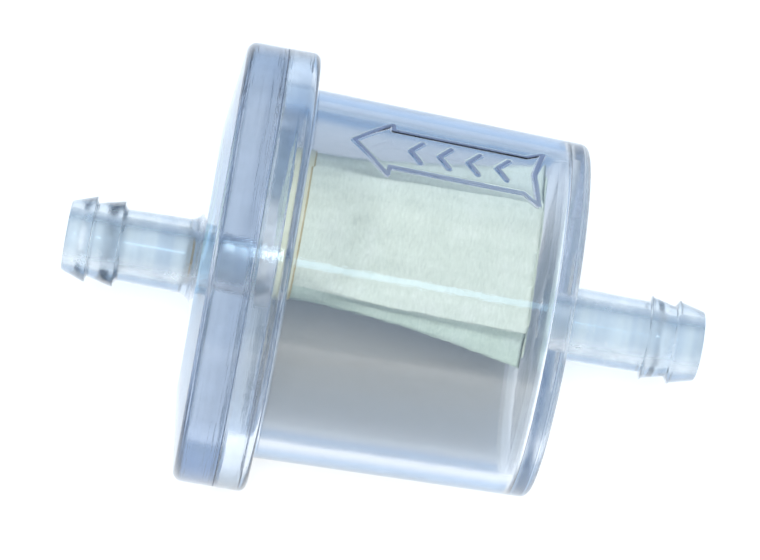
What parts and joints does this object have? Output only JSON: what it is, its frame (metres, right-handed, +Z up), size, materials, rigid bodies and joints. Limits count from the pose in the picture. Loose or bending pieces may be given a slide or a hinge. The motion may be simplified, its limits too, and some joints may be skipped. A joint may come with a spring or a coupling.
{
  "type": "fuel filter",
  "caption": "In-line fuel filter: round clear bowl with a flanged clear cap, a barbed hose nipple at each end, a raised flow arrow and a folded paper element inside.",
  "frame": {"origin": "on the filter's axis, halfway between the two nipple tips", "axes": "+X along the axis to the inlet nipple's tip, so fuel flows towards -X; +Z up through the middle of the flow arrow"},
  "size_m": [0.0584, 0.0404, 0.0404],
  "materials": {
    "clear_plastic": "clear moulded plastic with a faint blue tint, glossy",
    "weld_plastic": "remelted clear plastic, cloudy with fine bubbles",
    "filter_paper": "cream resin-treated filter paper, matte, fibrous",
    "collar_plastic": "satin translucent white plastic",
    "adhesive": "amber adhesive, slightly glossy"
  },
  "bodies": {
    "root": {"bowl": "clear_plastic", "outlet_cap": "clear_plastic", "weld_bead": "weld_plastic", "filter_element": "filter_paper", "element_collar": "collar_plastic", "mouth_adhesive": "adhesive", "seam_adhesive": "adhesive", "end_adhesive": "adhesive"}
  },
  "joints": []
}
